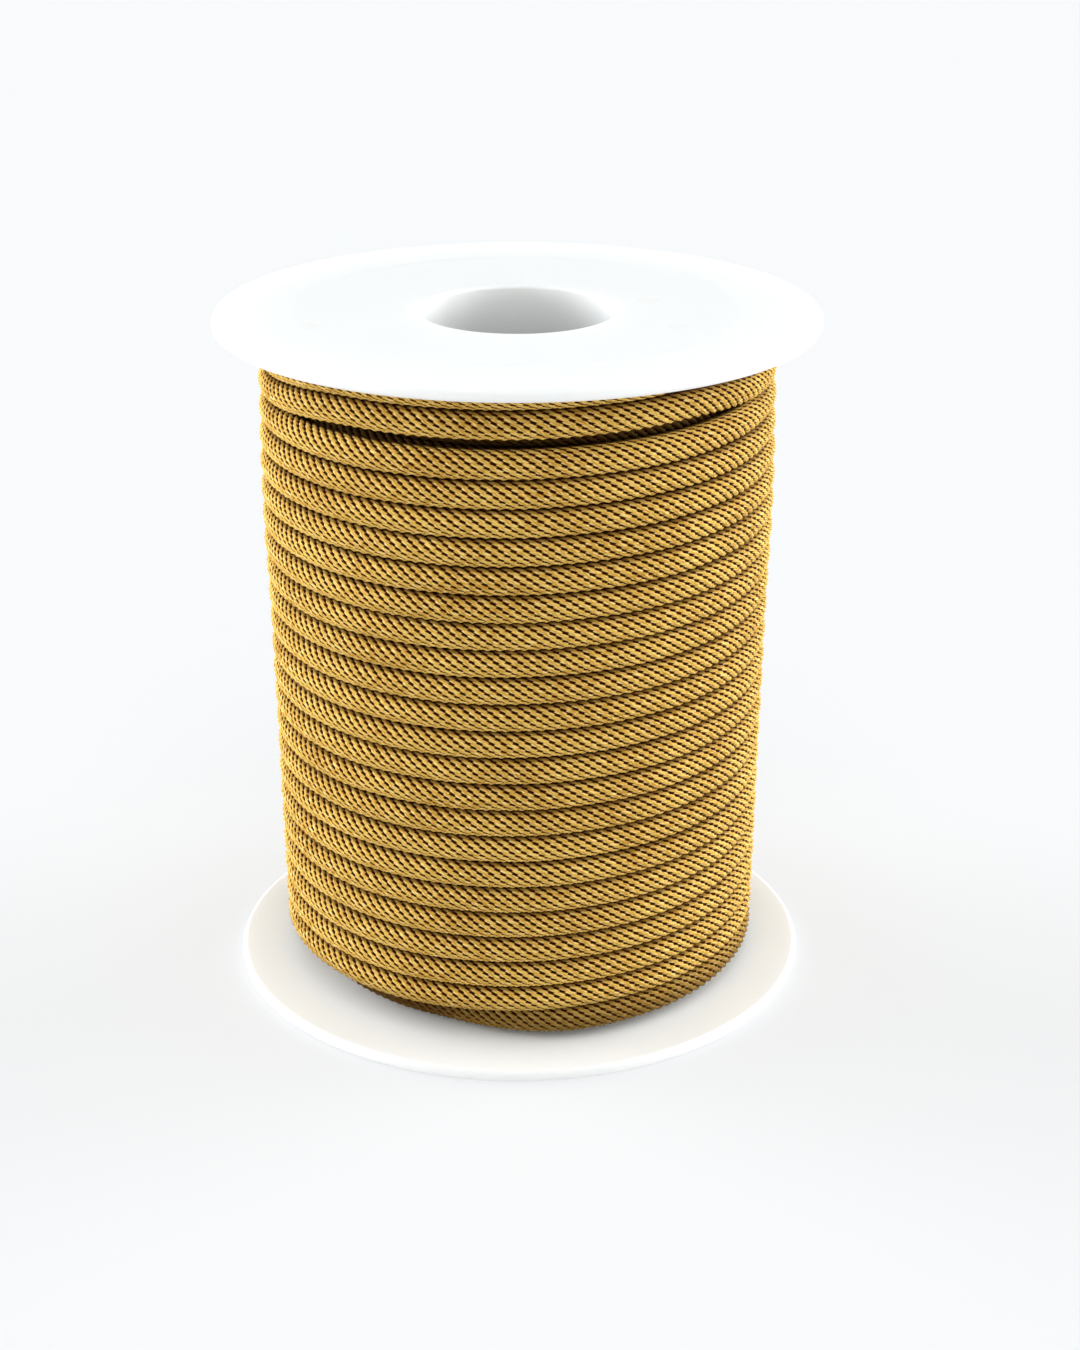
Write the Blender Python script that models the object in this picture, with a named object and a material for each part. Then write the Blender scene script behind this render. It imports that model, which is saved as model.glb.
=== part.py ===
"""A spool of 3 mm braided cord, standing on its lower flange.

The spool is one white plastic moulding: a thin barrel that is open from end to end, with
a thin round flange at each end. The cord is wound on it in layers, and its outer layer
is a helix of about 23 turns that rises to the right across the front. It starts low on
the left, where it climbs out of the layer below, and ends under the upper flange, where
it is tucked back in. Metres, +Z up, the spool's axis on Z and its lower face at z = 0.
"""

import math

import bmesh
import bpy
from mathutils import Vector

# Spool
HEIGHT = 0.0760
FLANGE_RADIUS = 0.0325
FLANGE_THICKNESS = 0.0014
RIM_ROUND = 0.0006
BORE_RADIUS = 0.0105
BORE_ROUND = 0.0008
BARREL_WALL = 0.0015
ROUND_STEPS = 2
SPOOL_SIDES = 64

# Wound cord
CORD = 0.0030
TURN_PITCH = 0.00301
LAYER_DEPTH = 0.0027
CLEARANCE = 0.0003
START_ANGLE = math.radians(244)
START_HEIGHT = 0.0020
START_RAMP = 0.12
END_TURN = 23.24
TUCK_TURN = 23.15
OPEN_GAP = 0.00108
OPEN_FROM_TURN = 21.7
OPEN_HALF_ANGLE = math.radians(78)
OPEN_EDGE = 0.55
FRONT_ANGLE = math.radians(270)
OPEN_ENOUGH = 0.0004
SHOULDERS = (0.28, 0.72)
SHOULDER_DROP = 0.00015
COLUMNS = 44

# Finish
PLASTIC_COLOR = (0.90, 0.90, 0.88)
PLASTIC_ROUGHNESS = 0.35
CORD_COLOR = (0.62, 0.40, 0.08)
CORD_ROUGHNESS = 0.8
SHARP_ANGLE = math.radians(45)
WELD = 0.00001

# The bulge of the outer layer: height on the spool and radius to the crests of the turns.
BULGE = (
    # height, radius
    (0.0000, 0.0268),
    (0.0150, 0.0271),
    (0.0300, 0.0273),
    (0.0450, 0.0276),
    (0.0570, 0.0279),
    (0.0660, 0.0278),
    (0.0760, 0.0275),
)

INNER_RADIUS = BORE_RADIUS + BARREL_WALL + CLEARANCE
LOWEST = FLANGE_THICKNESS + CLEARANCE
HIGHEST = HEIGHT - FLANGE_THICKNESS - CLEARANCE


def clear_scene():
    for obj in list(bpy.data.objects):
        bpy.data.objects.remove(obj, do_unlink=True)


def plain_material(name, color, roughness):
    material = bpy.data.materials.new(name)
    material.use_nodes = True
    shader = material.node_tree.nodes["Principled BSDF"]
    shader.inputs["Base Color"].default_value = (*color, 1)
    shader.inputs["Roughness"].default_value = roughness
    shader.inputs["Metallic"].default_value = 0
    return material


def add_object(name, bm, material):
    bmesh.ops.recalc_face_normals(bm, faces=bm.faces)
    mesh = bpy.data.meshes.new(name)
    bm.to_mesh(mesh)
    bm.free()
    mesh.materials.append(material)
    mesh.shade_smooth()
    mesh.set_sharp_from_angle(angle=SHARP_ANGLE)
    obj = bpy.data.objects.new(name, mesh)
    bpy.context.collection.objects.link(obj)
    return obj


def smooth(value):
    """0 below 0, 1 above 1, and an even curve between them."""
    value = min(max(value, 0.0), 1.0)
    return value * value * (3 - 2 * value)


def rounded_outline(corners):
    """A closed outline of right-angled corners, each rounded to its own radius."""
    points = []
    for i, (r, z, radius) in enumerate(corners):
        corner = Vector((r, 0, z))
        if radius == 0:
            points.append(corner)
            continue
        before = Vector((corners[i - 1][0], 0, corners[i - 1][1]))
        after_row = corners[(i + 1) % len(corners)]
        after = Vector((after_row[0], 0, after_row[1]))
        back = (before - corner).normalized()
        ahead = (after - corner).normalized()
        centre = corner + (back + ahead) * radius
        for step in range(ROUND_STEPS + 1):
            turn = math.pi / 2 * step / ROUND_STEPS
            points.append(centre - radius * (ahead * math.cos(turn) + back * math.sin(turn)))
    return points


def build_spool():
    barrel_radius = BORE_RADIUS + BARREL_WALL
    inner_low = FLANGE_THICKNESS
    inner_high = HEIGHT - FLANGE_THICKNESS
    outline = rounded_outline((
        (BORE_RADIUS, 0.0, BORE_ROUND),
        (FLANGE_RADIUS, 0.0, RIM_ROUND),
        (FLANGE_RADIUS, inner_low, RIM_ROUND),
        (barrel_radius, inner_low, 0),
        (barrel_radius, inner_high, 0),
        (FLANGE_RADIUS, inner_high, RIM_ROUND),
        (FLANGE_RADIUS, HEIGHT, RIM_ROUND),
        (BORE_RADIUS, HEIGHT, BORE_ROUND),
    ))
    bm = bmesh.new()
    verts = [bm.verts.new(point) for point in outline]
    edges = [bm.edges.new((vert, verts[(i + 1) % len(verts)])) for i, vert in enumerate(verts)]
    bmesh.ops.spin(
        bm,
        geom=verts + edges,
        cent=(0, 0, 0),
        axis=(0, 0, 1),
        angle=2 * math.pi,
        steps=SPOOL_SIDES,
        use_merge=True,
    )
    bmesh.ops.remove_doubles(bm, verts=bm.verts, dist=WELD)
    material = plain_material("white_plastic", PLASTIC_COLOR, PLASTIC_ROUGHNESS)
    return add_object("spool", bm, material)


def bulge_radius(z):
    """Radius to the crests of the turns at a height, read from the BULGE table."""
    for (low_z, low_r), (high_z, high_r) in zip(BULGE[:-1], BULGE[1:]):
        if z <= high_z:
            return low_r + (high_r - low_r) * (z - low_z) / (high_z - low_z)
    return BULGE[-1][1]


def front_opening(turn):
    """How far a turn is lifted off the one below, which shows as a gap at the front."""
    if turn < OPEN_FROM_TURN:
        return 0.0
    angle = START_ANGLE + 2 * math.pi * turn - FRONT_ANGLE
    off_front = abs((angle + math.pi) % (2 * math.pi) - math.pi)
    inside = 1 - off_front / OPEN_HALF_ANGLE
    return OPEN_GAP * smooth(inside / OPEN_EDGE)


def stands(turn):
    """How far the cord stands on the layer below at this many turns from its start: 1 in
    the winding, and 0 at its two ends, where it comes from that layer and goes back in."""
    return smooth(turn / START_RAMP) * smooth((END_TURN - turn) / (END_TURN - TUCK_TURN))


def edges_of(turn):
    """The height of the cord's lower and upper edge at this many turns from its start."""
    low = START_HEIGHT + TURN_PITCH * turn + front_opening(turn)
    return [min(max(z, LOWEST), HIGHEST) for z in (low, low + TURN_PITCH)]


def layer_below(z):
    return bulge_radius(z) - LAYER_DEPTH


def crest(turn, z):
    return layer_below(z) + LAYER_DEPTH * stands(turn)


def touch(turn, z):
    """The radius at which the cord touches the turn beside it."""
    return max(crest(turn, z) - CORD / 2, layer_below(z))


def floor(turn, beside, z, gap):
    """The radius between two turns: where they touch, or the layer below at an open gap."""
    met = min(touch(turn, z), touch(beside, z))
    wide = smooth(gap / OPEN_ENOUGH)
    if not (0 <= turn <= END_TURN and 0 <= beside <= END_TURN):
        wide = 1
    return met + (layer_below(z) - met) * wide


def turn_outline(turn):
    """The outline of one turn from its lower edge to its upper edge, as radius and height."""
    low, high = edges_of(turn)
    gap_under = low - edges_of(turn - 1)[1]
    gap_over = edges_of(turn + 1)[0] - high
    sides = []
    for share in SHOULDERS:
        z = low + share * (high - low)
        sides.append((crest(turn, z) - SHOULDER_DROP * stands(turn), z))
    return [
        (floor(turn, turn - 1, low, gap_under), low),
        (touch(turn, low), low),
        *sides,
        (touch(turn, high), high),
        (floor(turn, turn + 1, high, gap_over), high),
    ]


def build_wound_cord():
    """One closed body: a column of outlines at each angle, joined round the barrel.
    The last column is the first one shifted up a turn, so the turns run on as a helix."""
    columns = []
    turns = range(-2, int(END_TURN) + 2)
    for column in range(COLUMNS + 1):
        part_turn = column / COLUMNS
        angle = START_ANGLE + 2 * math.pi * part_turn
        outline = [(INNER_RADIUS, LOWEST)]
        for turn in turns:
            outline.extend(turn_outline(turn + part_turn))
        outline.append((INNER_RADIUS, HIGHEST))
        columns.append([(r * math.cos(angle), r * math.sin(angle), z) for r, z in outline])
    bm = bmesh.new()
    rings = [[bm.verts.new(point) for point in column] for column in columns]
    rows = len(rings[0])
    for left, right in zip(rings[:-1], rings[1:]):
        for row in range(rows):
            above = (row + 1) % rows
            bm.faces.new((left[row], right[row], right[above], left[above]))
    bmesh.ops.remove_doubles(bm, verts=bm.verts, dist=WELD)
    bmesh.ops.dissolve_degenerate(bm, edges=bm.edges, dist=WELD)
    material = plain_material("gold_cord", CORD_COLOR, CORD_ROUGHNESS)
    return add_object("wound_cord", bm, material)


clear_scene()
build_spool()
build_wound_cord()
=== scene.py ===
import math

import bpy
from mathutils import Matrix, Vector


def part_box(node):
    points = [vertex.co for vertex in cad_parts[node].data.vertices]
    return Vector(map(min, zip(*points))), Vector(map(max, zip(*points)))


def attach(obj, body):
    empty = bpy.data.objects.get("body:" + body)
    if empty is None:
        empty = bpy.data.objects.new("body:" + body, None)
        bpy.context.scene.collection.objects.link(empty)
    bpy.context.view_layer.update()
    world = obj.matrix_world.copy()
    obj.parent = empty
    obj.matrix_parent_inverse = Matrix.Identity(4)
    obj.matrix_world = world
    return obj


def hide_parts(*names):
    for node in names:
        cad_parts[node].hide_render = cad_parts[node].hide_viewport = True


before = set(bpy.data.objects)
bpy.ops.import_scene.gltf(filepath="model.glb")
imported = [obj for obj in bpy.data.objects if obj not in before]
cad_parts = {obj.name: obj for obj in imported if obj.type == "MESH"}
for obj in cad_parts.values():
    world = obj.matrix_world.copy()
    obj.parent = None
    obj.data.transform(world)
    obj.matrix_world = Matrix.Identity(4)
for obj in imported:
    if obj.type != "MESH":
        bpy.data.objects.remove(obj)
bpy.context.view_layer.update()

# Camera
# It looks slightly down on the spool from the front, near enough that the lower flange
# looks smaller than the upper one.
CAMERA_PLACE = (0.0024, -0.2567, 0.1391)
CAMERA_TILT = math.radians(90 - 22.35)
CAMERA_LENS = 65.3
CAMERA_SENSOR = 36
CAMERA_NEAR = 0.01

camera_data = bpy.data.cameras.new("camera")
camera_data.lens = CAMERA_LENS
camera_data.sensor_width = CAMERA_SENSOR
camera_data.clip_start = CAMERA_NEAR
camera = bpy.data.objects.new("camera", camera_data)
camera.location = CAMERA_PLACE
camera.rotation_euler = (CAMERA_TILT, 0, 0)
bpy.context.collection.objects.link(camera)
bpy.context.scene.camera = camera


# Spool
# One white plastic moulding: a thin barrel that is open from end to end, with a thin round
# flange at each end. Each flange has a shallow dish in its outer face and the faint round
# marks of the pins that pushed it out of the mould.
spool_low, spool_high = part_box("spool")
HEIGHT = spool_high.z - spool_low.z
FLANGE_RADIUS = spool_high.x
FLANGE_THICKNESS = 0.0014
RIM_ROUND = 0.0006
BARREL_RADIUS = 0.0120
BORE_RADIUS = 0.0105
BORE_ROUND = 0.0004
ROOT_ROUND = 0.0004
DISH_RADIUS = 0.0243
DISH_SLOPE = 0.0012
DISH_DEPTH = 0.00012
DISH_STEPS = 6
CORNER_STEPS = 8
SPOOL_SIDES = 256
PIN_MARK_RADIUS = 0.0012
PIN_MARKS = ((-0.0217, -0.0076), (0.0140, 0.0033), (0.0166, -0.0076))

WHITE_PLASTIC = (0.882, 0.892, 0.878)
PIN_MARK_COLOR = (0.83, 0.815, 0.77)
# Painted shade in the bore: its white darkens to this grey deeper in from each end.
BORE_SHADE_COLOR = (0.46, 0.455, 0.44)
BORE_SHADE_DEPTH = 0.012
MOULD_WAVES = 70
MOULD_GRAIN = 2600


def arc_round(corner, before, after, radius):
    """Points of a quarter circle that rounds a right-angled corner of an outline."""
    back = (before - corner).normalized()
    ahead = (after - corner).normalized()
    centre = corner + (back + ahead) * radius
    points = []
    for step in range(CORNER_STEPS + 1):
        turn = math.pi / 2 * step / CORNER_STEPS
        points.append(centre - (ahead * math.cos(turn) + back * math.sin(turn)) * radius)
    return points


def rounded_outline(corners):
    """An outline of radius and height, whose right-angled corners are each rounded."""
    places = [Vector((radius, height)) for radius, height, rounding in corners]
    outline = []
    for i, (radius, height, rounding) in enumerate(corners):
        if rounding == 0:
            outline.append(places[i])
        else:
            outline += arc_round(places[i], places[i - 1], places[(i + 1) % len(places)], rounding)
    return outline


def turned_mesh(name, outline, sides):
    """A closed surface made by turning a closed outline of radius and height round the Z axis."""
    rows = len(outline)
    points = []
    for side in range(sides):
        angle = 2 * math.pi * side / sides
        points += [(r * math.cos(angle), r * math.sin(angle), z) for r, z in outline]
    faces = []
    for side in range(sides):
        here = side * rows
        there = (side + 1) % sides * rows
        for row in range(rows):
            above = (row + 1) % rows
            faces.append((here + row, there + row, there + above, here + above))
    mesh = bpy.data.meshes.new(name)
    mesh.from_pydata(points, [], faces)
    mesh.shade_smooth()
    return mesh


def dish_slope(height, depth):
    """Points down the soft slope of a flange's dish, from the bore out."""
    points = []
    for step in range(DISH_STEPS + 1):
        share = step / DISH_STEPS
        sunk = 1 - share * share * (3 - 2 * share)
        points.append((DISH_RADIUS + DISH_SLOPE * (share - 0.5), height - depth * sunk, 0))
    return points


spool_outline = rounded_outline((
    (BORE_RADIUS, DISH_DEPTH, BORE_ROUND),
    *dish_slope(0.0, -DISH_DEPTH),
    (FLANGE_RADIUS, 0.0, RIM_ROUND),
    (FLANGE_RADIUS, FLANGE_THICKNESS, RIM_ROUND),
    (BARREL_RADIUS, FLANGE_THICKNESS, ROOT_ROUND),
    (BARREL_RADIUS, HEIGHT - FLANGE_THICKNESS, ROOT_ROUND),
    (FLANGE_RADIUS, HEIGHT - FLANGE_THICKNESS, RIM_ROUND),
    (FLANGE_RADIUS, HEIGHT, RIM_ROUND),
    *reversed(dish_slope(HEIGHT, DISH_DEPTH)),
    (BORE_RADIUS, HEIGHT - DISH_DEPTH, BORE_ROUND),
))


class Field:
    """A number that a node tree works out at each point, so that its sums read as sums."""

    def __init__(self, tree, socket):
        self.tree = tree
        self.socket = socket

    def math(self, operation, *others):
        node = self.tree.nodes.new("ShaderNodeMath")
        node.operation = operation
        for place, value in enumerate((self, *others)):
            feed(self.tree, node.inputs[place], value)
        return Field(self.tree, node.outputs[0])

    def __add__(self, other):
        return self.math("ADD", other)

    def __radd__(self, other):
        return self.math("ADD", other)

    def __sub__(self, other):
        return self.math("SUBTRACT", other)

    def __rsub__(self, other):
        return constant(self.tree, other).math("SUBTRACT", self)

    def __mul__(self, other):
        return self.math("MULTIPLY", other)

    def __truediv__(self, other):
        return self.math("DIVIDE", other)

    def at_least(self, other):
        return self.math("MAXIMUM", other)

    def at_most(self, other):
        return self.math("MINIMUM", other)

    def above(self, other):
        """1 where the number is above the other one, and 0 elsewhere."""
        return self.math("GREATER_THAN", other)

    def ramp(self, start, end):
        """0 at start, 1 at end, and an even curve between them."""
        node = self.tree.nodes.new("ShaderNodeMapRange")
        node.interpolation_type = "SMOOTHSTEP"
        feed(self.tree, node.inputs["Value"], self)
        feed(self.tree, node.inputs["From Min"], start)
        feed(self.tree, node.inputs["From Max"], end)
        return Field(self.tree, node.outputs["Result"])


def feed(tree, socket, value):
    """Sets a socket to a plain value, or links it to a Field or another socket."""
    if isinstance(value, Field):
        tree.links.new(value.socket, socket)
    elif isinstance(value, bpy.types.NodeSocket):
        tree.links.new(value, socket)
    else:
        socket.default_value = value


def constant(tree, value):
    node = tree.nodes.new("ShaderNodeValue")
    node.outputs[0].default_value = value
    return Field(tree, node.outputs[0])


def vector_of(tree, x, y, z):
    node = tree.nodes.new("ShaderNodeCombineXYZ")
    for socket, value in zip(node.inputs, (x, y, z)):
        feed(tree, socket, value)
    return node.outputs[0]


def noise_at(tree, place, scale, detail=2.0):
    """Smooth noise from 0 to 1 at a place."""
    node = tree.nodes.new("ShaderNodeTexNoise")
    feed(tree, node.inputs["Vector"], place)
    node.inputs["Scale"].default_value = scale
    node.inputs["Detail"].default_value = detail
    return Field(tree, node.outputs[0])


def mixed_color(tree, share, first, second):
    node = tree.nodes.new("ShaderNodeMix")
    node.data_type = "RGBA"
    feed(tree, node.inputs["Factor"], share)
    for socket, color in ((node.inputs["A"], first), (node.inputs["B"], second)):
        feed(tree, socket, (*color, 1) if isinstance(color, tuple) else color)
    return node.outputs["Result"]


def make_white_plastic():
    """Satin white plastic: a fine moulded grain, slow waves of gloss and faint pin marks, with
    painted shade that darkens the bore deeper in from each end.
    """
    material = bpy.data.materials.new("white_plastic")
    material.use_nodes = True
    tree = material.node_tree
    shader = tree.nodes["Principled BSDF"]
    place = tree.nodes.new("ShaderNodeTexCoord").outputs["Object"]
    flat_place = tree.nodes.new("ShaderNodeSeparateXYZ")
    tree.links.new(place, flat_place.inputs[0])
    x, y, z = (Field(tree, socket) for socket in flat_place.outputs)
    mark = constant(tree, 0.0)
    for mark_x, mark_y in PIN_MARKS:
        away = ((x - mark_x).math("POWER", 2.0) + (y - mark_y).math("POWER", 2.0)).math("SQRT")
        mark = mark.at_least(away.ramp(PIN_MARK_RADIUS * 1.15, PIN_MARK_RADIUS * 0.85))
    depth = HEIGHT / 2 - (z - HEIGHT / 2).math("ABSOLUTE")
    mark = mark * (1.0 - depth.above(FLANGE_THICKNESS / 2))
    waves = noise_at(tree, place, MOULD_WAVES)
    grain = noise_at(tree, place, MOULD_GRAIN, 1.0)
    radius = (x * x + y * y).math("SQRT")
    # Painted shade that darkens the bore deeper in from each end.
    bore_shade = radius.ramp(BORE_RADIUS + BORE_ROUND, BORE_RADIUS) * depth.ramp(0.0, BORE_SHADE_DEPTH)
    duller = tuple(c * 0.985 for c in WHITE_PLASTIC)
    shade = mixed_color(tree, waves.ramp(0.3, 0.7), WHITE_PLASTIC, duller)
    shade = mixed_color(tree, bore_shade, shade, BORE_SHADE_COLOR)
    feed(tree, shader.inputs["Base Color"], mixed_color(tree, mark * 0.35, shade, PIN_MARK_COLOR))
    feed(tree, shader.inputs["Roughness"], 0.34 + waves * 0.12 + mark * 0.05)
    shader.inputs["IOR"].default_value = 1.49
    shader.inputs["Subsurface Weight"].default_value = 0.4
    shader.inputs["Subsurface Radius"].default_value = (1.0, 0.9, 0.8)
    shader.inputs["Subsurface Scale"].default_value = 0.003
    bump = tree.nodes.new("ShaderNodeBump")
    bump.inputs["Strength"].default_value = 0.4
    bump.inputs["Distance"].default_value = 0.00002
    feed(tree, bump.inputs["Height"], waves * 0.6 + grain * 0.25 - mark * 0.8)
    tree.links.new(bump.outputs[0], shader.inputs["Normal"])
    return material


spool_mesh = turned_mesh("moulded_spool", spool_outline, SPOOL_SIDES)
spool_mesh.materials.append(make_white_plastic())
spool = bpy.data.objects.new("moulded_spool", spool_mesh)
bpy.context.collection.objects.link(spool)
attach(spool, "root")
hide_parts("spool")


# Cord
# A round gold braid, 3 mm thick, wound round the barrel in even layers. Its strands stand
# up as ten slanting ridges, tied down where the strands of the other hand cross over them.
# The outer layer climbs from the lower flange to the upper one and is tucked in under it.
CORD = 0.0030
TURN_PITCH = 0.00301
LAYER_DEPTH = 0.00265
START_ANGLE = math.radians(244)
START_HEIGHT = 0.0020
START_RAMP = 0.12
START_CURVE = 0.05
TUCK_TURN = 23.15
END_TURN = 23.24
UNDER_FLANGE = HEIGHT - FLANGE_THICKNESS - 0.0001
FRONT_ANGLE = math.radians(270)
OPEN_GAP = 0.00108
OPEN_FROM_TURN = 21.7
OPEN_HALF_ANGLE = math.radians(78)
OPEN_EDGE = 0.55

RIDGES_PER_TURN = 136.4
RIDGES_ROUND = 10
RIDGE_HEIGHT = 0.00034
TIE_HEIGHT = 0.46
BEAD = 0.20
STEPS_TO_A_RIDGE = 4
STEPS_ROUND = 28
FINE_STEPS = 11
FINE_ROWS = 0.5
COARSE_ROWS = 1.5
WANDER = 0.00008
SEED = 7.0
WELD = 0.000005

# The crests of the outer layer: height on the spool and radius.
CRESTS = (
    (0.0000, 0.0268),
    (0.0150, 0.0271),
    (0.0300, 0.0273),
    (0.0450, 0.0276),
    (0.0570, 0.0279),
    (0.0660, 0.0278),
    (0.0760, 0.0275),
)

# Each length of the cord: the number of its first ridge, and how many ridges it has. Ridge
# 0 is where the outer layer starts, and those before it are on the layer below.
LENGTHS = {
    "cord_turns_1": (-218, 683),
    "cord_turns_2": (465, 683),
    "cord_turns_3": (1148, 683),
    "cord_turns_4": (1831, 683),
    "cord_turns_5": (2514, 683),
    "cord_below_rim": (-3214, 436),
}

# Pale gold painted glints on the filaments.
STRAND_GLINT = (0.98, 0.745, 0.32)
STRAND_GOLD = (0.87, 0.572, 0.132)
# A darker yarn tone at random, and the painted shade on the ridges' flanks and in the ply
# partings.
STRAND_DARK_TONE_AND_SHADE = (0.40, 0.17, 0.010)
# Deep brown painted shade in the slits between strands and in the creases.
SHADE_BETWEEN_STRANDS = (0.034, 0.0062, 0.0004)
YARN_GLOSS = (1.0, 0.80, 0.45, 1)

# The slit between two strands, in shares of a ridge, which the material fills with painted shade:
# its width where a tie crosses it, what is added between the ties and on the cord's upper side,
# where the turn above shades it, and how far its soft edge reaches.
SLIT_AT_TIE = 0.085
SLIT_OPENS = 0.155
SLIT_UPPER = 0.03
SLIT_EDGE_OUT = 0.075
SLIT_EDGE_IN = 0.04
STRAND_BEND = 0.05
PLY_PARTING = (0.13, 0.02)

# Where the painted shade at the turn above and at the turn below starts and is full, in rows down
# from the side that shows, and the heights where the lower flange's painted shade does.
UPPER_CREASE = (-2.0, -4.1)
UPPER_CREASE_AT_GAP = (-4.2, -5.4)
LOWER_CREASE = (3.8, 4.8)
BY_FLANGE = (0.0072, 0.0034)
FLANGE_SHADE = 0.75
MOST_SHADE = 0.94


def crest_radius(tree, height):
    """The radius to the crests of the turns at a height, on a smooth curve."""
    low = min(radius for _, radius in CRESTS)
    high = max(radius for _, radius in CRESTS)
    node = tree.nodes.new("ShaderNodeFloatCurve")
    points = node.mapping.curves[0].points
    for i, (z, radius) in enumerate(CRESTS):
        spot = (z / HEIGHT, (radius - low) / (high - low))
        if i in (0, len(CRESTS) - 1):
            points[0 if i == 0 else -1].location = spot
        else:
            points.new(*spot)
    node.mapping.update()
    feed(tree, node.inputs["Value"], height / HEIGHT)
    return low + Field(tree, node.outputs[0]) * (high - low)


def make_braid_tree():
    """A length of braided cord on its place in the winding. A grid is laid along the
    ridges, and each of its points is then moved to its place on the cord's surface."""
    tree = bpy.data.node_groups.new("wound_braid", "GeometryNodeTree")
    sockets = tree.interface
    sockets.new_socket("Geometry", in_out="OUTPUT", socket_type="NodeSocketGeometry")
    for name, kind, value in (
        ("First ridge", "Int", 0),
        ("Ridges", "Int", 100),
        ("Ridges in a turn", "Float", RIDGES_PER_TURN),
        ("Cord thickness", "Float", CORD),
        ("Turn pitch", "Float", TURN_PITCH),
        ("Layer depth", "Float", LAYER_DEPTH),
        ("Ridge height", "Float", RIDGE_HEIGHT),
        ("Wander", "Float", WANDER),
        ("Seed", "Float", SEED),
        ("Material", "Material", None),
    ):
        socket = sockets.new_socket(name, in_out="INPUT", socket_type="NodeSocket" + kind)
        if value is not None:
            socket.default_value = value
    nodes = tree.nodes
    links = tree.links
    given = nodes.new("NodeGroupInput").outputs
    first = Field(tree, given["First ridge"])
    ridges = Field(tree, given["Ridges"])
    thickness = Field(tree, given["Cord thickness"])
    pitch = Field(tree, given["Turn pitch"])

    # The grid: its steps round the cord are finer on the side that shows.
    grid = nodes.new("GeometryNodeMeshGrid")
    columns = ridges + (RIDGES_ROUND + 3)
    feed(tree, grid.inputs["Size X"], columns)
    feed(tree, grid.inputs["Size Y"], float(STEPS_ROUND))
    feed(tree, grid.inputs["Vertices X"], columns * STEPS_TO_A_RIDGE + 1)
    feed(tree, grid.inputs["Vertices Y"], STEPS_ROUND + 1)
    split = nodes.new("ShaderNodeSeparateXYZ")
    links.new(nodes.new("GeometryNodeInputPosition").outputs[0], split.inputs[0])
    step_round = 0.0 - Field(tree, split.outputs["Y"])
    fine = step_round.at_least(-FINE_STEPS).at_most(FINE_STEPS)
    row = fine * FINE_ROWS + (step_round - fine) * COARSE_ROWS
    unbounded = Field(tree, split.outputs["X"]) + ridges * 0.5 + first + row * 0.5
    along = unbounded.at_least(first).at_most(first + ridges)
    past_end = (unbounded - along).math("ABSOLUTE")
    ridge = along - row * 0.5

    # Where the middle of the cord runs: up the outer layer, or down the one below.
    seed = Field(tree, given["Seed"])
    shuffle = noise_at(tree, vector_of(tree, along * 0.011, seed, 0.0), 1.0, 1.0)
    turn = (along + shuffle * 3.0) / Field(tree, given["Ridges in a turn"])
    angle = turn * (2 * math.pi) + START_ANGLE
    on_top = turn.ramp(0.0, START_RAMP) * turn.ramp(END_TURN, TUCK_TURN)
    climbed = (turn * turn + START_CURVE ** 2).math("SQRT") - START_CURVE
    off_front = (angle - FRONT_ANGLE).math("WRAP", math.pi, -math.pi).math("ABSOLUTE")
    opened = off_front.ramp(OPEN_HALF_ANGLE, OPEN_HALF_ANGLE * (1 - OPEN_EDGE))
    opened = opened * turn.above(OPEN_FROM_TURN)
    low_edge = START_HEIGHT + climbed * pitch + opened * OPEN_GAP
    open_above = off_front.ramp(OPEN_HALF_ANGLE, OPEN_HALF_ANGLE * 0.75)
    open_above = open_above * turn.above(OPEN_FROM_TURN - 1) * (1.0 - turn.above(OPEN_FROM_TURN))
    half_height = ((UNDER_FLANGE - low_edge) * 0.5).at_most(thickness * 0.5)
    middle_height = low_edge + half_height
    lift = thickness * 0.5 + (1.0 - on_top) * Field(tree, given["Layer depth"])
    middle_radius = crest_radius(tree, middle_height) - lift
    east = angle.math("COSINE")
    north = angle.math("SINE")
    middle = vector_of(tree, middle_radius * east, middle_radius * north, middle_height + seed)
    wander = Field(tree, given["Wander"])
    sway = (noise_at(tree, middle, 90, 1.0) - 0.5) * wander * 2.0
    swell = (noise_at(tree, middle, 160, 1.0) - 0.5) * wander * 1.2

    # The surface round that middle: ridges, the ties across their valleys and the beads
    # that the ties leave on them.
    slant = (row * (2 * math.pi)).math("COSINE")
    crest = (ridge * math.pi).math("SINE").math("ABSOLUTE").math("POWER", 0.85)
    tie = (0.5 - slant * 0.5) * TIE_HEIGHT
    relief = crest.at_least(tie) - (slant * crest) * BEAD
    height = Field(tree, given["Ridge height"])
    reach = (thickness * 0.5 + swell + height * (relief - 0.75)) * (1.0 - past_end.above(1.01))
    round_angle = row * (2 * math.pi / (2 * RIDGES_ROUND))
    outward = reach * round_angle.math("COSINE")
    pressed = pitch * 0.5 - 0.00001
    upward = (0.0 - reach * round_angle.math("SINE")).at_most(pressed).at_least(0.0 - pressed)
    upward = upward * half_height / (thickness * 0.5)
    place = vector_of(
        tree,
        (middle_radius + outward) * east,
        (middle_radius + outward) * north,
        middle_height + sway + upward,
    )

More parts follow.
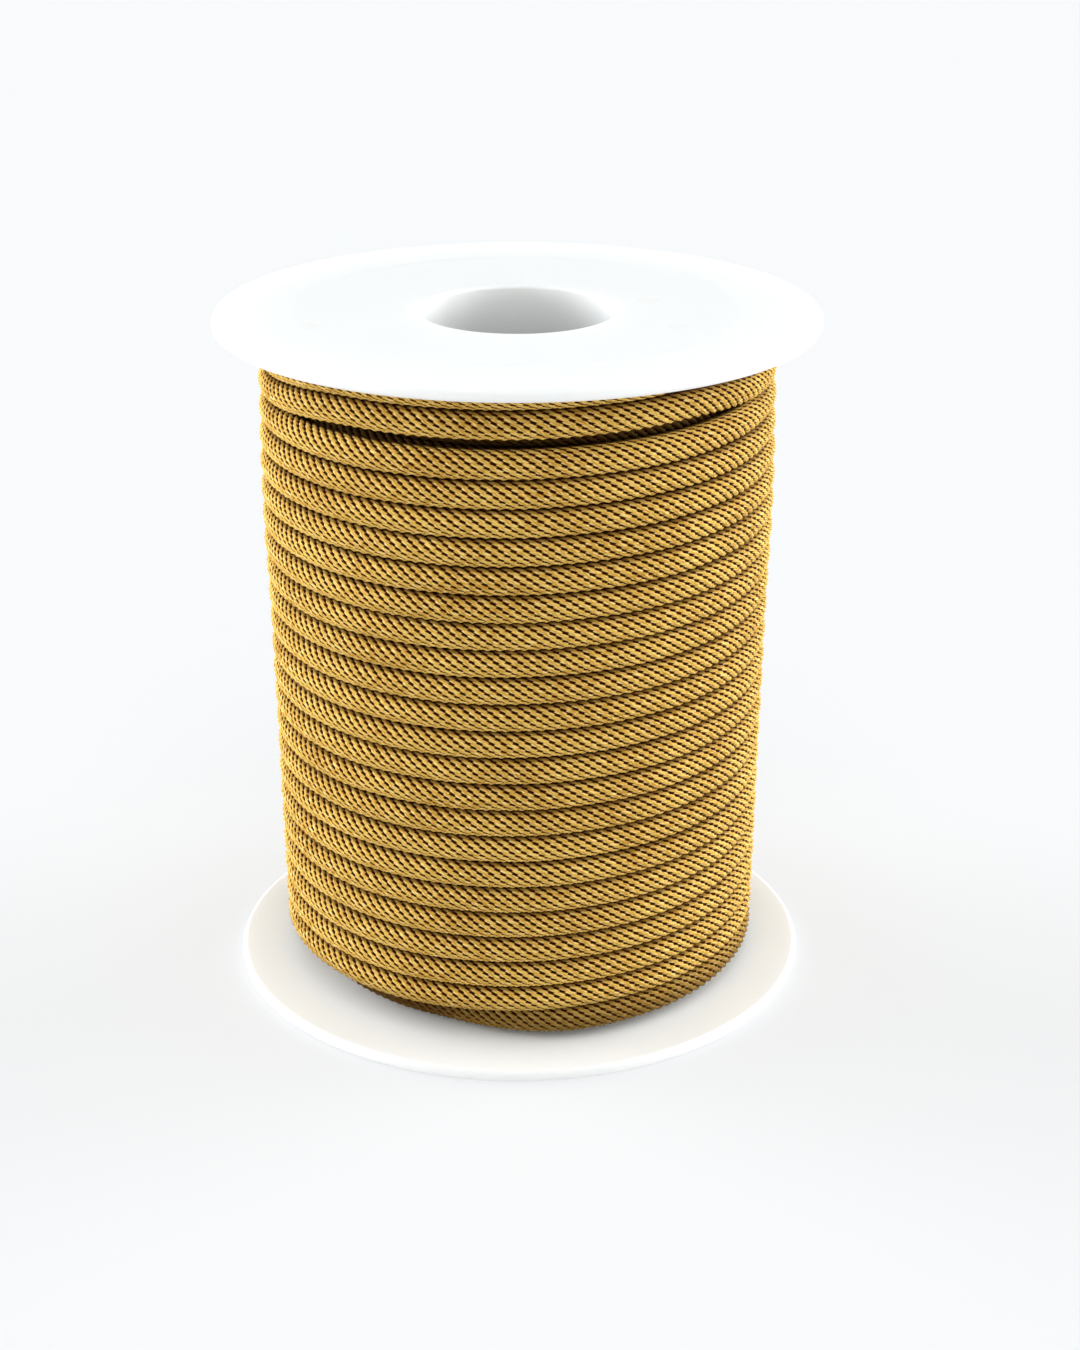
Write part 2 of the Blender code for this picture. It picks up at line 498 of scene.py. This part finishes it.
    # The map keeps the ridge's number and the row round the cord for the material.
    cut = nodes.new("GeometryNodeTriangulate")
    links.new(grid.outputs["Mesh"], cut.inputs[0])
    unrolled = nodes.new("GeometryNodeStoreNamedAttribute")
    unrolled.data_type = "FLOAT2"
    unrolled.domain = "CORNER"
    unrolled.inputs["Name"].default_value = "UVMap"
    links.new(cut.outputs[0], unrolled.inputs["Geometry"])
    links.new(vector_of(tree, ridge, row, 0.0), unrolled.inputs["Value"])
    # The shade attribute is painted shade that the material lays on the yarn: in the creases at
    # the turn above and the turn below, by the lower flange, and on the cord of the layer below,
    # darker towards the front.
    shade = nodes.new("GeometryNodeStoreNamedAttribute")
    shade.data_type = "FLOAT"
    shade.domain = "POINT"
    shade.inputs["Name"].default_value = "shade"
    links.new(unrolled.outputs[0], shade.inputs["Geometry"])
    upper_crease = row.ramp(*UPPER_CREASE) * (1.0 - open_above)
    upper_crease = upper_crease.at_least(row.ramp(*UPPER_CREASE_AT_GAP))
    lower_crease = row.ramp(*LOWER_CREASE)
    by_flange = (middle_height + upward).ramp(*BY_FLANGE) * FLANGE_SHADE
    below = (1.0 - on_top) * (0.5 + off_front.ramp(2.1, 1.4) * 0.45)
    painted_shade = upper_crease.at_least(lower_crease).at_least(below).at_least(by_flange)
    feed(tree, shade.inputs["Value"], painted_shade * MOST_SHADE)
    smooth = nodes.new("GeometryNodeSetShadeSmooth")
    links.new(shade.outputs[0], smooth.inputs["Geometry"])
    feed(tree, smooth.inputs["Shade Smooth"], 1.0 - past_end.above(0.05))
    moved = nodes.new("GeometryNodeSetPosition")
    links.new(smooth.outputs[0], moved.inputs["Geometry"])
    links.new(place, moved.inputs["Position"])
    welded = nodes.new("GeometryNodeMergeByDistance")
    welded.inputs["Distance"].default_value = WELD
    links.new(moved.outputs[0], welded.inputs["Geometry"])
    real = nodes.new("GeometryNodeRealizeInstances")
    links.new(welded.outputs[0], real.inputs[0])
    finish = nodes.new("GeometryNodeSetMaterial")
    links.new(real.outputs[0], finish.inputs["Geometry"])
    links.new(given["Material"], finish.inputs["Material"])
    links.new(finish.outputs[0], nodes.new("NodeGroupOutput").inputs[0])
    return tree


def make_gold_braid():
    """Gold yarn with fine filaments along each strand and a slow drift in tone along the cord.
    Pale painted glints lie on the filaments, and deep brown painted shade fills the slits between
    the ridges, darkens the ridges' flanks and ply partings, and lies where the winding's shade
    attribute marks the creases."""
    material = bpy.data.materials.new("gold_braid")
    material.use_nodes = True
    tree = material.node_tree
    shader = tree.nodes["Principled BSDF"]
    split = tree.nodes.new("ShaderNodeSeparateXYZ")
    tree.links.new(tree.nodes.new("ShaderNodeUVMap").outputs[0], split.inputs[0])
    ridge = Field(tree, split.outputs["X"])
    row = Field(tree, split.outputs["Y"])
    stepped = ridge + (row * (2 * math.pi)).math("SINE") * STRAND_BEND
    off_slit = (stepped - stepped.math("ROUND")).math("ABSOLUTE")
    off_ply = (off_slit - 0.5).math("ABSOLUTE")
    off_tie = 0.5 + (row * (2 * math.pi)).math("COSINE") * 0.5
    upper_side_shade = row.ramp(1.5, -2.5)
    slit_width = SLIT_AT_TIE + off_tie.math("POWER", 2.5) * SLIT_OPENS + upper_side_shade * SLIT_UPPER
    # Painted shade in the slit between two strands, wider between the ties and on the upper side,
    # where the turn above shades it.
    between = off_slit.ramp(slit_width + SLIT_EDGE_OUT, slit_width - SLIT_EDGE_IN)
    filaments = noise_at(tree, vector_of(tree, ridge * 6.0, row * 0.9, 0.0), 1.0, 2.0)
    parted = noise_at(tree, vector_of(tree, ridge, row * 0.8, 3.0), 1.0, 1.0).ramp(0.35, 0.6)
    # The parting of the two plies is a groove in the bump and painted shade in the colour.
    ply = off_ply.ramp(*PLY_PARTING) * parted
    shade = tree.nodes.new("ShaderNodeAttribute")
    shade.attribute_name = "shade"
    place = tree.nodes.new("ShaderNodeTexCoord").outputs["Object"]
    drift = noise_at(tree, place, 140, 2.0)
    # Painted shade on each ridge's flanks, darker towards the slit.
    flank_shade = off_slit.ramp(slit_width + 0.18, slit_width) * 0.5
    bright = (filaments * 0.7 + drift * 0.3).ramp(0.22, 0.62) * (1.0 - ply * 0.55) * (1.0 - flank_shade)
    yarn = mixed_color(tree, bright, STRAND_DARK_TONE_AND_SHADE, STRAND_GOLD)
    # Painted glints: the brightest filaments go pale gold, except in the ply partings.
    yarn = mixed_color(tree, filaments.ramp(0.48, 0.72) * (1.0 - ply) * 0.9, yarn, STRAND_GLINT)
    # Painted shade: the slits, and what the winding's shade attribute marks, go deep brown.
    shaded = between.at_least(Field(tree, shade.outputs["Fac"]))
    feed(tree, shader.inputs["Base Color"], mixed_color(tree, shaded, yarn, SHADE_BETWEEN_STRANDS))
    feed(tree, shader.inputs["Roughness"], 0.62 + filaments * 0.2)
    shader.inputs["Specular IOR Level"].default_value = 0.04
    shader.inputs["Sheen Weight"].default_value = 0.02
    shader.inputs["Sheen Roughness"].default_value = 0.45
    shader.inputs["Sheen Tint"].default_value = YARN_GLOSS
    shader.inputs["Specular Tint"].default_value = YARN_GLOSS
    bump = tree.nodes.new("ShaderNodeBump")
    bump.inputs["Strength"].default_value = 0.6
    bump.inputs["Distance"].default_value = 0.00006
    feed(tree, bump.inputs["Height"], filaments * 0.6 - between * 0.6 - ply * 0.35)
    tree.links.new(bump.outputs[0], shader.inputs["Normal"])
    return material


braid_tree = make_braid_tree()
gold_braid = make_gold_braid()
braid_inputs = {
    item.name: item.identifier
    for item in braid_tree.interface.items_tree
    if item.in_out == "INPUT"
}
for name, (first_ridge, ridge_count) in LENGTHS.items():
    carrier = bpy.data.objects.new("carrier", bpy.data.meshes.new("carrier"))
    bpy.context.collection.objects.link(carrier)
    winding = carrier.modifiers.new("winding", "NODES")
    winding.node_group = braid_tree
    winding[braid_inputs["First ridge"]] = first_ridge
    winding[braid_inputs["Ridges"]] = ridge_count
    winding[braid_inputs["Material"]] = gold_braid
    made = carrier.evaluated_get(bpy.context.evaluated_depsgraph_get())
    cord_mesh = bpy.data.meshes.new_from_object(made)
    bpy.data.objects.remove(carrier)
    cord_mesh.name = name
    cord = bpy.data.objects.new(name, cord_mesh)
    bpy.context.collection.objects.link(cord)
    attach(cord, "root")
    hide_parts("wound_cord")


# Inner layers
# The rest of the cord, wound under the outer layer. None of it shows, so it is one plain
# body that closes the space between the barrel and the turns that show.
INNER_RADIUS = 0.0123
BEHIND_TURNS = 0.0022
BEHIND_ENDS = 0.0048
LOW_END = 0.0095
HIGH_END = 0.0640
INNER_LOW = 0.0015
INNER_HIGH = 0.0745
INNER_STEP = 0.0004
INNER_SIDES = 96
# Painted shade: the gold cord, made dark brown as it lies in the shadow of the turns over it.
INNER_SHADE_COLOR = (0.12, 0.055, 0.012)


def crest_at(height):
    """The radius to the crests of the turns at a height, straight between the CRESTS."""
    for (low, low_radius), (high, high_radius) in zip(CRESTS[:-1], CRESTS[1:]):
        if height <= high:
            return low_radius + (high_radius - low_radius) * (height - low) / (high - low)
    return CRESTS[-1][1]


inner_outline = [(INNER_RADIUS, INNER_LOW)]
for height, depth in (
    (INNER_LOW, BEHIND_ENDS),
    (LOW_END, BEHIND_ENDS),
    (LOW_END + INNER_STEP, BEHIND_TURNS),
    (HEIGHT / 2, BEHIND_TURNS),
    (HIGH_END - INNER_STEP, BEHIND_TURNS),
    (HIGH_END, BEHIND_ENDS),
    (INNER_HIGH, BEHIND_ENDS),
):
    inner_outline.append((crest_at(height) - depth, height))
inner_outline.append((INNER_RADIUS, INNER_HIGH))


def make_inner_gold():
    material = bpy.data.materials.new("inner_gold")
    material.use_nodes = True
    tree = material.node_tree
    shader = tree.nodes["Principled BSDF"]
    place = tree.nodes.new("ShaderNodeTexCoord").outputs["Object"]
    mottle = noise_at(tree, place, 900, 2.0)
    deep = tuple(c * 0.5 for c in INNER_SHADE_COLOR)
    mottled = mixed_color(tree, mottle.ramp(0.3, 0.7), deep, INNER_SHADE_COLOR)
    feed(tree, shader.inputs["Base Color"], mottled)
    shader.inputs["Roughness"].default_value = 0.9
    return material


inner_mesh = turned_mesh("inner_layers", inner_outline, INNER_SIDES)
inner_mesh.materials.append(make_inner_gold())
inner = bpy.data.objects.new("inner_layers", inner_mesh)
bpy.context.collection.objects.link(inner)
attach(inner, "root")
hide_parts("wound_cord")


# Floor and light
# A wide white table top that glows a little, in a studio with pale walls and dim soft light
# from all round. A wide bright panel stands at each side of the spool, one hangs in front
# above it, and one large lamp is further off. The camera itself sees an even pale backdrop.
FLOOR_HALF = 4.0
FLOOR_WHITE = (0.26, 0.2625, 0.2675)
FLOOR_GLOW = 0.63
LAMP_PLACE = (0.2, -1.9, 0.9)
LAMP_WIDTH = 1.2
LAMP_WATTS = 2.0
AIM = Vector((0, 0, 0.04))
STUDIO_WHITE = (0.975, 0.99, 1.0)
LIGHT_WALLS = 0.95
WALLS_FADE = (0.24, 0.12)
LIGHT_LOW = 0.15
LIGHT_OVERHEAD = 0.12
BACKDROP = 0.92
PANEL_SPREAD = math.radians(41)
PANELS = (
    # direction and strength
    (Vector((-1, 0.35, 0.09)), 9.5),
    (Vector((1, 0.35, 0.09)), 9.0),
    (Vector((0.05, -0.55, 1.0)), 2.2),
)

floor_mesh = bpy.data.meshes.new("table_top")
floor_corners = ((-1, -1), (1, -1), (1, 1), (-1, 1))
floor_points = [(x * FLOOR_HALF, y * FLOOR_HALF, 0) for x, y in floor_corners]
floor_mesh.from_pydata(floor_points, [], [(0, 1, 2, 3)])
table_white = bpy.data.materials.new("table_white")
table_white.use_nodes = True
table_shader = table_white.node_tree.nodes["Principled BSDF"]
table_shader.inputs["Base Color"].default_value = (*FLOOR_WHITE, 1)
table_shader.inputs["Roughness"].default_value = 0.9
table_shader.inputs["Specular IOR Level"].default_value = 0.0
table_shader.inputs["Emission Color"].default_value = (*STUDIO_WHITE, 1)
table_shader.inputs["Emission Strength"].default_value = FLOOR_GLOW
floor_mesh.materials.append(table_white)
table_top = bpy.data.objects.new("table_top", floor_mesh)
bpy.context.collection.objects.link(table_top)

lamp_data = bpy.data.lights.new("front_lamp", "AREA")
lamp_data.size = LAMP_WIDTH
lamp_data.energy = LAMP_WATTS
lamp = bpy.data.objects.new("front_lamp", lamp_data)
lamp.location = LAMP_PLACE
lamp.rotation_euler = (AIM - Vector(LAMP_PLACE)).to_track_quat("-Z", "Y").to_euler()
bpy.context.collection.objects.link(lamp)

studio = bpy.data.worlds.new("studio")
studio.use_nodes = True
studio_tree = studio.node_tree
looking = studio_tree.nodes.new("ShaderNodeTexCoord").outputs["Generated"]
toward = studio_tree.nodes.new("ShaderNodeSeparateXYZ")
studio_tree.links.new(looking, toward.inputs[0])
east, north, upward = (Field(studio_tree, socket) for socket in toward.outputs)
light = upward.at_least(0.0) * (LIGHT_OVERHEAD - LIGHT_LOW) + LIGHT_LOW
light = light + upward.ramp(*WALLS_FADE) * (LIGHT_WALLS - LIGHT_LOW)
for direction, strength in PANELS:
    middle = direction.normalized()
    facing = east * middle.x + north * middle.y + upward * middle.z
    light = light + facing.ramp(math.cos(PANEL_SPREAD), 1.0) * strength
ray = studio_tree.nodes.new("ShaderNodeLightPath")
seen = Field(studio_tree, ray.outputs["Is Camera Ray"])
light = light * (1.0 - seen) + seen * BACKDROP
background = studio_tree.nodes["Background"]
background.inputs["Color"].default_value = (*STUDIO_WHITE, 1)
feed(studio_tree, background.inputs["Strength"], light)
bpy.context.scene.world = studio
bpy.context.scene.view_settings.view_transform = "Standard"
